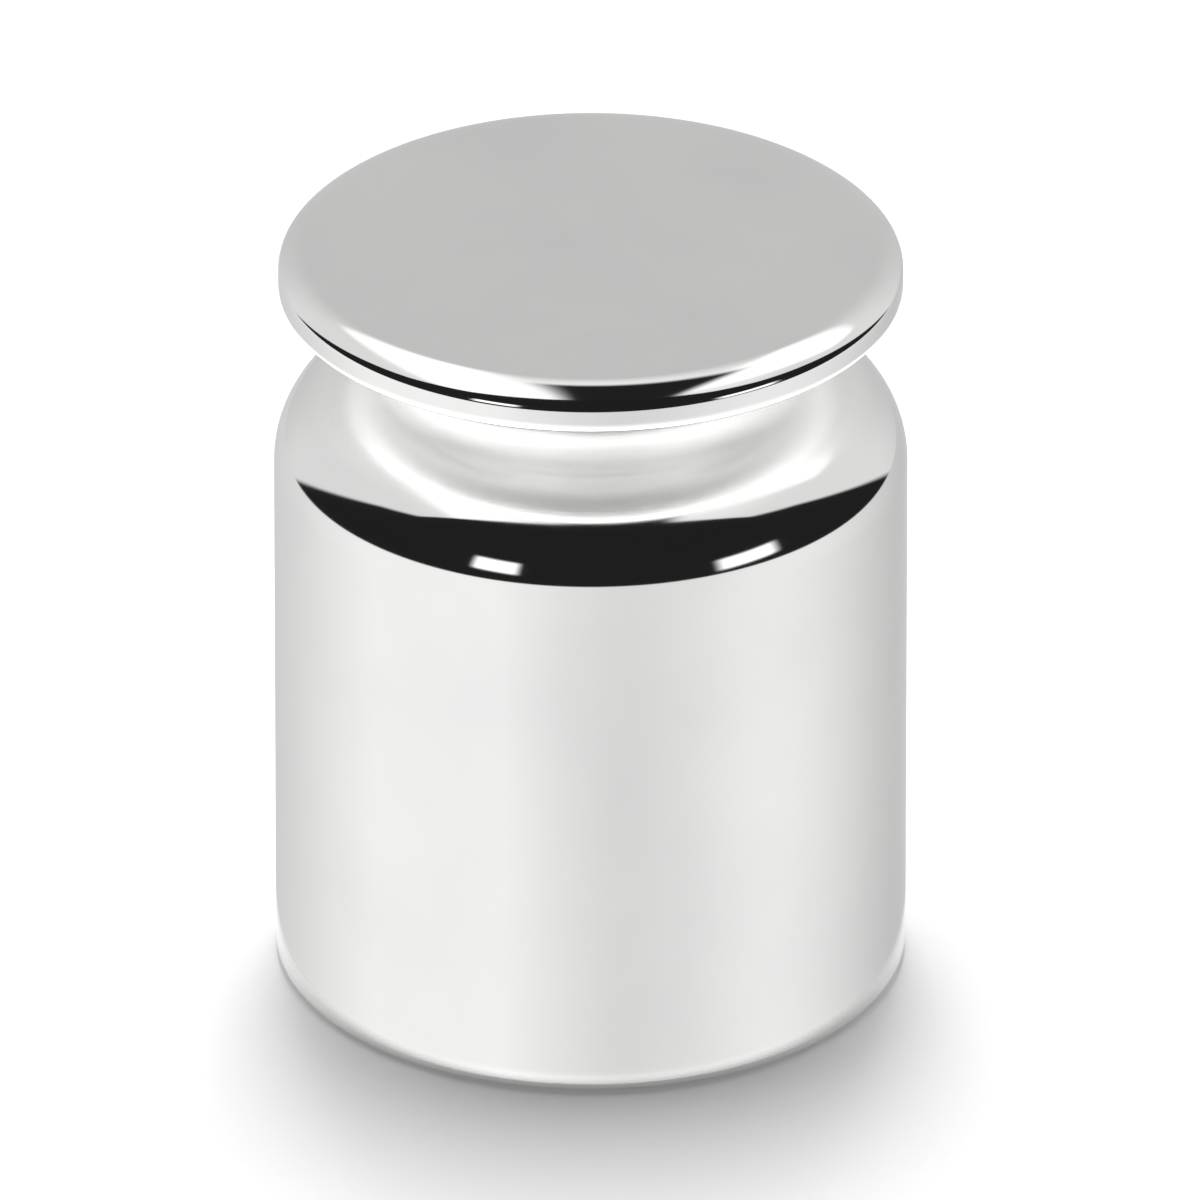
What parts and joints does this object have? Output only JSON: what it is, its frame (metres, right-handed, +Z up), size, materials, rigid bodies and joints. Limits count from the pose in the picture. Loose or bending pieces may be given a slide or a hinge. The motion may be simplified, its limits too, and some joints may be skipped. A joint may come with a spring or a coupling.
{
  "type": "calibration weight",
  "caption": "Solid round metal calibration weight: straight polished body, rounded shoulder, recessed grip and a flat disc head to lift it by.",
  "frame": {"origin": "centre of the flat base face, on the axis of the weight", "axes": "+Z up along the axis, from the base to the head; the weight is round, so X and Y are alike"},
  "size_m": [0.052, 0.052, 0.0653],
  "materials": {
    "polished_steel": "mirror-polished solid stainless steel, satin in the grip"
  },
  "bodies": {
    "root": {"weight": "polished_steel"}
  },
  "joints": []
}
